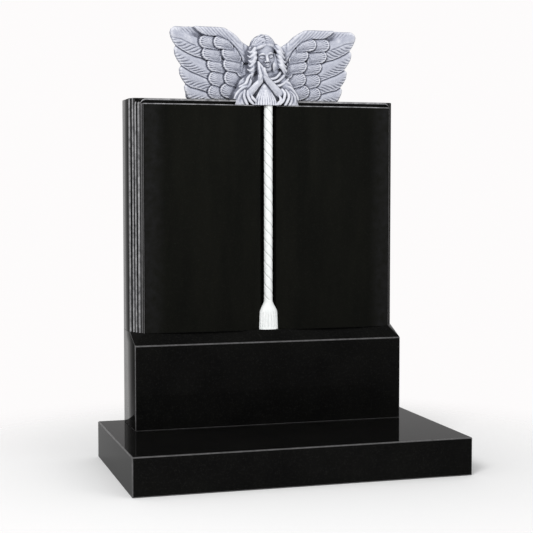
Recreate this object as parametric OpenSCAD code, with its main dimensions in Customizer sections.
// Headstone: an open book upright on a slab base, with a praying angel seated on the book's top
// and a twisted rope marker that hangs down the gutter of the book and ends in a tassel.
// +X is to the right of someone who faces the front, +Y is away from them, +Z is up.
// The origin is the centre of the underside of the base slab.

/* [Base slab] */
// Width of the base slab
base_w = 914; // [800:1:1200]
// Depth of the base slab
base_d = 520; // [400:1:700]
// Height of the base slab
base_h = 102; // [60:1:160]
// Width of the small bevel along the base slab's edges
base_arris = 3; // [1:0.5:6]

/* [Upright stone] */
// Width of the upright stone
stone_w = 770; // [640:1:950]
// Height of the upright stone above the base slab
stone_h = 904; // [720:1:1100]
// Depth of the plain block at the foot of the upright stone
die_d = 168; // [165:1:220]
// Height of the plain block at the foot of the upright stone
die_h = 232; // [150:1:320]
// Distance from the back edge of the base slab to the back of the upright stone
setback = 20; // [0:1:60]
// Height of the sloping ledge between the plain block and the book
ledge_rise = 33; // [15:1:60]
// Width of the small bevel along the edges of the plain block
die_arris = 2; // [1:0.5:5]

/* [Book] */
// Thickness of the slab that makes the book's cover
cover_t = 90; // [60:1:95]
// Thickness of each of the two bands of page edges
band_t = 22; // [12:1:25]
// Inward step of each of the two bands of page edges
band_in = 11; // [5:1:18]
// Depth of the groove between two bands
groove = 3; // [1:0.5:5]
// Thickness of the front leaf
leaf_t = 16; // [10:1:20]
// Inward step of the front leaf
leaf_in = 8; // [4:1:16]
// Height of the moulding along the top of the book
frame_h = 16; // [10:1:30]
// Radius of the moulding's top corners
frame_r = 18; // [8:1:30]
// Height of the swell of each page
crown = 8; // [2:1:12]
// Depth of the gutter between the pages
gutter_drop = 24; // [16:1:30]
// Width over which a page rolls into the gutter
gutter_roll = 70; // [40:1:110]
// Width of the flat bed at the bottom of the gutter
gutter_bed = 30; // [26:1:60]

/* [Rope and tassel] */
// Diameter of the rope
rope_d = 24; // [16:1:26]
// Length of rope in which a strand goes round once
rope_lead = 62; // [45:1:90]
// Depth of the spiral groove between the strands
rope_groove = 1.5; // [0.5:0.1:3]
// Height of the tassel
tassel_h = 82; // [50:1:120]
// Height of the tassel's shoulder above its bottom
tassel_shoulder = 45; // [35:1:70]
// Width of the tassel at its bottom
tassel_w = 56; // [40:1:70]
// Depth of the tassel at its bottom
tassel_d = 34; // [24:1:40]
// Number of strands round the tassel
tassel_strands = 14; // [10:1:18]

/* [Angel] */
// Distance from wing tip to wing tip
wing_span = 546; // [420:1:700]
// Height of the wings above the book's top
wing_h = 200; // [150:1:260]
// Distance from the back of the wings to the front of their plate
wing_plate_t = 22; // [16:1:40]
// Distance from the back of the angel to the front of the book's moulding
angel_seat_d = 60; // [45:1:95]
// Width of the figure at its bottom
figure_w = 194; // [150:1:240]
// Height of the head's crown above the book's top
head_top = 184; // [150:1:220]
// Width of the head with its hair
head_w = 80; // [60:1:96]
// Distance of the chest's front ahead of the book's moulding
chest_out = 22; // [18:1:30]
// Sideways offset of the figure's middle from the middle of the wings
figure_x = -5; // [-12:1:12]

/* [Hidden] */
BLACK = "#121212";
PALE = "#F2F2F4";
GREY = "#A9ADB8";
CUT = 1;

// Depths of the layers, from the back of the upright stone to its front
y_back = base_d / 2 - setback;
y_die = y_back - die_d;
y_cover = y_back - cover_t;
y_band1 = y_cover - band_t;
y_band2 = y_band1 - band_t;
y_leaf = y_band2 - leaf_t;
y_bed = y_leaf + gutter_drop;

// Heights of the levels
z_die = base_h + die_h;
z_book = z_die + ledge_rise;
z_top = base_h + stone_h;
z_leaf = z_top - frame_h;

// Half widths of the layers
x_side = stone_w / 2;
x_band1 = x_side - band_in;
x_band2 = x_band1 - band_in;
x_leaf = x_band2 - leaf_in;

// Joins equal rings of points into one closed solid
module loft(rings) {
    n = len(rings[0]);
    m = len(rings);
    polyhedron(
        points = [for (r = rings) for (p = r) p],
        faces = concat(
            [[for (i = [0:n - 1]) i]],
            [[for (i = [n - 1:-1:0]) (m - 1) * n + i]],
            [for (k = [0:m - 2]) for (i = [0:n - 1])
                [k * n + i, (k + 1) * n + (i + 1) % n, k * n + (i + 1) % n]],
            [for (k = [0:m - 2]) for (i = [0:n - 1])
                [k * n + i, (k + 1) * n + i, (k + 1) * n + (i + 1) % n]]
        )
    );
}

// A block with a small bevel along its vertical edges and its top edges
module bevelled_block(w, d, h, c) {
    function ring(in, z, k) = [
        [-w / 2 + in + k, -d / 2 + in, z], [w / 2 - in - k, -d / 2 + in, z],
        [w / 2 - in, -d / 2 + in + k, z], [w / 2 - in, d / 2 - in - k, z],
        [w / 2 - in - k, d / 2 - in, z], [-w / 2 + in + k, d / 2 - in, z],
        [-w / 2 + in, d / 2 - in - k, z], [-w / 2 + in, -d / 2 + in + k, z]
    ];
    loft([ring(0, 0, c), ring(0, h - c, c), ring(c, h, c)]);
}

module base() {
    color(BLACK) bevelled_block(base_w, base_d, base_h, base_arris);
}

// The plain block at the foot, and the ledge that slopes up from it to the book's outline
module die() {
    c = die_arris;
    translate([0, (y_back + y_die) / 2, base_h])
        linear_extrude(die_h - c)
            polygon([
                [-x_side + c, -die_d / 2], [x_side - c, -die_d / 2],
                [x_side, -die_d / 2 + c], [x_side, die_d / 2],
                [-x_side, die_d / 2], [-x_side, -die_d / 2 + c]
            ]);
    polyhedron(
        points = [
            [-x_side + c, y_die, z_die - c], [x_side - c, y_die, z_die - c],
            [x_side, y_die + c, z_die - c], [x_side, y_back, z_die - c],
            [-x_side, y_back, z_die - c], [-x_side, y_die + c, z_die - c],
            [-x_side + c, y_die + c, z_die], [x_side - c, y_die + c, z_die],
            [x_side, y_cover, z_book], [x_side, y_back, z_book],
            [-x_side, y_back, z_book], [-x_side, y_cover, z_book],
            [-x_leaf, y_leaf, z_book], [x_leaf, y_leaf, z_book]
        ],
        faces = [
            [0, 1, 2, 3, 4, 5], [7, 1, 0], [6, 7, 0], [7, 2, 1], [6, 0, 5],
            [13, 7, 6], [12, 13, 6], [8, 2, 7], [13, 8, 7], [11, 6, 5], [11, 12, 6],
            [9, 3, 2], [8, 9, 2], [11, 5, 4], [10, 11, 4], [10, 4, 3], [9, 10, 3],
            [9, 8, 13], [10, 9, 13], [12, 10, 13], [11, 10, 12]
        ]
    );
}

// Front outline of a layer: square at the foot, with top corners of radius r
function layer_ring(hw, zt, r, y) = concat(
    [[-hw, y, z_book], [hw, y, z_book]],
    [for (a = [0:15:90]) [hw - r + r * cos(a), y, zt - r + r * sin(a)]],
    [for (a = [90:15:180]) [-hw + r + r * cos(a), y, zt - r + r * sin(a)]]
);

// A hollow flute, between sharp edges, down both sides of the first band
module band_one() {
    function inset(s) = band_in * s + groove * sin(180 * s);
    loft([for (s = [0:0.25:1])
        layer_ring(x_side - inset(s), z_top, CUT, y_cover - band_t * s)]);
}

// A rounded bead, between two grooves, up both sides and along the top of the second band
module band_two() {
    bead = [[0, groove], [0.1, 0], [0.35, -2], [0.65, -2], [0.9, 0], [1, groove]];
    loft([for (b = bead)
        layer_ring(
            x_band1 - band_in * b[0] - b[1],
            z_top - (b[0] > 0.5 ? b[1] + 2 : 2 + b[1]),
            frame_r,
            y_band1 - band_t * b[0]
        )]);
}

// Front of a page, as the drop behind the leaf's front plane at the distance x from the middle
function page_drop(x) =
    let (t = min(1, max(0, (x - gutter_bed / 2) / gutter_roll)))
    let (u = max(0, (x - gutter_bed / 2) / (x_leaf - gutter_bed / 2)))
    gutter_drop * (1 - sqrt(1 - (1 - t) * (1 - t))) - crown * sin(180 * u) * t;

module page_outline() {
    xs = [for (i = [0:9]) gutter_bed / 2 + gutter_roll
        + (x_leaf - gutter_bed / 2 - gutter_roll) * i / 9];
    front = [for (x = xs) [x, y_leaf + page_drop(x)]];
    polygon(concat(
        [for (i = [len(front) - 1:-1:0]) [-front[i][0], front[i][1]]],
        front,
        [[x_leaf + leaf_in, y_band2 + CUT], [x_leaf + leaf_in, y_band2 + 2 * CUT],
         [-x_leaf - leaf_in, y_band2 + 2 * CUT], [-x_leaf - leaf_in, y_band2 + CUT]]
    ));
}

module leaf() {
    translate([0, 0, z_book])
        linear_extrude(z_leaf - z_book)
            page_outline();
}

// What is cut out of the bands so that the gutter can lie deeper than the front leaf
module gutter_cut() {
    xs = [for (i = [0:7]) gutter_bed / 2 + gutter_roll * (1 - cos(i * 90 / 7))];
    edge = [for (x = xs) [x, y_leaf + page_drop(x)]];
    translate([0, 0, z_book])
        linear_extrude(z_leaf - z_book)
            polygon(concat(
                [for (i = [len(edge) - 1:-1:0]) [-edge[i][0], edge[i][1]]],
                edge,
                [[gutter_bed / 2 + gutter_roll, y_leaf - crown - CUT],
                 [-gutter_bed / 2 - gutter_roll, y_leaf - crown - CUT]]
            ));
}

module book_stone() {
    color(BLACK) {
        difference() {
            union() {
                die();
                translate([-x_side, y_cover, z_book - CUT])
                    cube([stone_w, cover_t, z_top - z_book + CUT]);
                band_one();
                band_two();
                leaf();
            }
            gutter_cut();
        }
    }
}

// Outline of the rope: two strands side by side, with a groove between them at 90 and 270 degrees
function rope_outline(turn) = [for (half_turn = [0, 180], a = [25, 60, 90, 120, 155])
    let (r = rope_d / 2 - (a == 90 ? rope_groove : 0))
    [r * cos(a + half_turn + turn), r * sin(a + half_turn + turn)]];

z_neck = z_book + tassel_h;
rope_y = y_bed - rope_d / 2 + 1.5;

module rope() {
    steps = ceil((z_leaf - z_neck + 4) / rope_lead * 10);
    intersection() {
        loft([for (k = [0:steps])
            let (z = z_neck - 4 + (z_leaf - z_neck + 4) * k / steps)
            [for (p = rope_outline((z_neck - z) * 360 / rope_lead))
                [p[0], rope_y + p[1], z]]]);
        translate([-rope_d, y_bed - rope_d * 2, z_book])
            cube([rope_d * 2, rope_d * 2, z_leaf - z_book]);
    }
}

// Half width of the tassel at its shoulder, where the flare ends and the straight skirt begins
shoulder_half = tassel_w / 2 - 2;

// Share of the flare from the rope, 0, to the shoulder, 1, at the height h above the tassel's bottom
function flare(h) =
    let (s = min(1, (tassel_h - h) / (tassel_h - tassel_shoulder)))
    s * s * (3 - 2 * s);

// Half width of the tassel at the height h above its bottom
function tassel_half(h) =
    rope_d / 2 + (shoulder_half - rope_d / 2) * flare(h)
    + (tassel_w / 2 - shoulder_half) * max(0, 1 - h / tassel_shoulder);

module tassel() {
    heights = [0, tassel_shoulder / 2, for (k = [0:6]) tassel_shoulder + (tassel_h - tassel_shoulder) * k / 6];
    n = tassel_strands * 2;
    intersection() {
        loft([for (h = heights)
            let (w = tassel_half(h))
            let (flute = 0.2 + 1.4 * flare(h))
            let (dk = 1 - (1 - tassel_d / tassel_w) * max(0, w * 2 - rope_d) / (tassel_w - rope_d))
            [for (i = [0:n - 1])
                let (a = i * 360 / n)
                let (r = w - flute * (1 - cos(a * tassel_strands)) / 2)
                [r * cos(a), rope_y + r * dk * sin(a), z_book + h]]]);
        translate([-tassel_w, y_bed - tassel_w * 2, z_book])
            cube([tassel_w * 2, tassel_w * 2, tassel_h]);
    }
}

module rope_tassel() {
    color(PALE) {
        difference() {
            union() {
                rope();
                tassel();
            }
            page_clear();
        }
    }
}

// Room for the rolled pages on both sides of the rope
module page_clear() {
    xs = [for (i = [0:7]) gutter_bed / 2 + gutter_roll * (1 - cos(i * 90 / 7))];
    translate([0, 0, z_book - CUT])
        linear_extrude(z_leaf - z_book + 2 * CUT)
            for (side = [-1, 1])
                polygon(concat(
                    [for (x = xs) [side * x, y_leaf + page_drop(x)]],
                    [[side * (gutter_bed / 2 + gutter_roll), y_bed + rope_d],
                     [side * gutter_bed / 2, y_bed + rope_d]]
                ));
}

// Places on the angel
y_seat_front = y_band2;
y_angel_back = y_seat_front + angel_seat_d;
y_plate = y_angel_back - wing_plate_t;
y_chest = y_seat_front - chest_out;
tip_x = wing_span / 2;

// Turns a shape drawn flat, with its top towards +Z, to stand with its top towards -Y
module facing(x, y, z, turn) {
    translate([x, y, z_top + z]) rotate([90, 0, 0]) rotate([0, 0, turn]) children();
}

// One feather: a rounded blade of length l and width w, with a raised middle
module feather(l, w, t, rise) {
    function blade(k, h) = [for (i = [0:11])
        let (a = i * 30)
        [l / 2 + (l / 2) * k * cos(a), w / 2 * k * sin(a) * (1 + 0.25 * cos(a)), h]];
    loft([blade(0.96, 0), blade(1, t * 0.6), blade(0.9, t), blade(0.45, t + rise)]);
}

// One wing: a plate, four long feathers, two rows of short ones and a thick leading edge
module wing() {
    kx = tip_x / 273;
    kz = wing_h / 200;
    // Outline of the plate, from the foot of the wing to its tip and back to the neck
    plate = [[20, 0], [222, 0], [229, 36], [243, 87], [254, 146], [262, 176], [250, 190],
        [180, 192], [118, 192], [88, 178], [62, 152], [40, 120], [20, 100]];
    // Root, length, width and turn of each long feather
    long = [[118, 138, 160, 56, 14], [112, 88, 162, 52, 16], [108, 40, 148, 48, 15],
        [104, 2, 136, 44, 12]];
    // Tip of each short feather, from the top row to the bottom one
    outer = [[188, 160], [178, 131], [166, 101], [161, 62], [163, 24]];
    inner = [[146, 158], [128, 131], [122, 100], [118, 66], [126, 30]];
    // Middle line and half width of the leading edge
    arm = [[46, 128, 20], [66, 154, 17], [88, 174, 15], [116, 188, 13], [178, 190, 11],
        [236, 190, 11], [258, 184, 11]];
    intersection() {
        union() {
            translate([0, y_angel_back, z_top])
                rotate([90, 0, 0])
                    linear_extrude(wing_plate_t)
                        polygon([for (p = plate) [p[0] * kx, p[1] * kz]]);
            for (i = [0:len(long) - 1])
                let (f = long[i])
                facing(f[0] * kx, y_angel_back - 4 - 0.7 * i, f[1] * kz, f[4])
                    feather(f[2] * kx, f[3] * kz, wing_plate_t, 3);
            for (i = [0:len(outer) - 1])
                facing((outer[i][0] - 48) * kx, y_angel_back - 9.3 - 0.6 * i,
                    (outer[i][1] - 6) * kz, 7 + i)
                    feather(50 * kx, 42 * kz, wing_plate_t, 3);
            for (i = [0:len(inner) - 1])
                facing((inner[i][0] - 50) * kx, y_angel_back - 11.6 - 0.6 * i,
                    (inner[i][1] - 6) * kz, 6 + i)
                    feather(50 * kx, 42 * kz, wing_plate_t, 3);
            loft([for (i = [0:len(arm) - 1])
                let (p = arm[max(0, i - 1)])
                let (q = arm[min(len(arm) - 1, i + 1)])
                let (d = norm([q[0] - p[0], q[1] - p[1]]))
                let (side = [(p[1] - q[1]) / d, (q[0] - p[0]) / d])
                [for (k = [0:9])
                    let (u = cos(k * 36 + 5) * arm[i][2])
                    let (v = sin(k * 36 + 5))
                    [(arm[i][0] + side[0] * u) * kx,
                     y_angel_back - 3 - (wing_plate_t + 4.5) * (0.5 + 0.5 * v),
                     z_top + (arm[i][1] + side[1] * u) * kz]]]);
        }
        translate([0, y_chest, z_leaf])
            cube([tip_x, y_angel_back - y_chest, frame_h + wing_h]);
    }
}

// A limb or a fold that runs from a to b, with the radii ra and rb
module limb(a, ra, b, rb) {
    hull() {
        translate(a) sphere(r = ra, $fn = 10);
        translate(b) sphere(r = rb, $fn = 10);
    }
}

// The figure: a draped bust with its forearms raised and its palms pressed together
module figure() {
    s = figure_w / 2;
    yc = y_chest;
    z0 = z_leaf - z_top;
    depth = y_angel_back - yc - 8;
    head_h = 98;
    head_z = head_top - head_h / 2;
    head_y = yc + 34;
    // Height, half width, front and middle of the draped body
    body = [[z0, s - 4, 4, 0], [z0 + 10, s, 3, 0], [24, s - 2, 4, 0], [48, s - 6, 10, 1],
        [66, s - 16, 17, 1], [78, s - 34, 22, 2], [86, 24, 28, 3], [96, 19, 30, 4],
        [112, 17, 30, 4]];
    intersection() {
        union() {
            loft([for (r = body) [for (i = [0:19])
                let (a = i * 18)
                [r[3] + r[1] * cos(a),
                 y_angel_back - (depth - r[2] + 8) * (0.5 - 0.5 * sin(a)),
                 z_top + r[0]]]]);
            // Back of the body, between the wings
            translate([-s + 6, yc + 47, z_top - CUT])
                cube([2 * s - 12, y_angel_back - yc - 46, 64]);
            translate([0, 0, z_top]) {
                // Head, jaw and hair
                translate([4, head_y, head_z + 4])
                    scale([head_w / 2 - 4, 33, head_h / 2 - 4])
                        sphere(r = 1, $fn = 18);
                translate([3, head_y - 8, head_z - 12])
                    scale([27, 27, head_h / 2 - 14])
                        sphere(r = 1, $fn = 16);
                for (side = [-1, 1])
                    for (k = [0:3])
                        limb(
                            [4 + side * (head_w / 2 - 10 + k), head_y + 6 + k * 2, head_z + 16 - k * 14],
                            11,
                            [2 + side * (head_w / 2 + 6 + (k < 3 ? k * 4 : 4)), head_y + 14,
                             head_z - 14 - k * 12],
                            7
                        );
                // Sleeves, forearms and hands
                limb([-s + 22, yc + 40, 58], 22, [-s + 26, yc + 24, 12], 26);
                limb([s - 20, yc + 40, 58], 22, [s - 26, yc + 24, 12], 26);
                limb([-s + 36, yc + 20, 14], 22, [-s + 60, yc + 14, 34], 15);
                limb([s - 34, yc + 20, 14], 22, [s - 62, yc + 14, 34], 15);
                limb([-s + 56, yc + 14, 30], 12, [-14, yc + 12, 54], 9);
                limb([s - 54, yc + 14, 26], 12, [-8, yc + 12, 54], 9);
                limb([-16, yc + 11, 54], 10, [-28, yc + 9, 104], 6);
                limb([-10, yc + 12, 54], 10, [-24, yc + 12, 102], 6);
                // Pleats of the drapery between the forearms
                for (k = [-2:2])
                    limb([k * 4, yc + 13, 44], 5, [k * 13, yc + 8, z0 + 6], 8);
            }
        }
        translate([-s - 10, yc - 4, z_leaf])
            cube([2 * s + 20, y_angel_back - yc + 4, wing_h]);
    }
}

module angel() {
    color(GREY) {
        difference() {
            union() {
                wing();
                mirror([1, 0, 0]) wing();
                translate([figure_x, 0, 0]) figure();
            }
            // Rebate that fits over the moulding along the book's top
            translate([-tip_x, y_seat_front, z_leaf - CUT])
                cube([wing_span, angel_seat_d + CUT, frame_h + CUT]);
        }
    }
}

base();
book_stone();
angel();
rope_tassel();
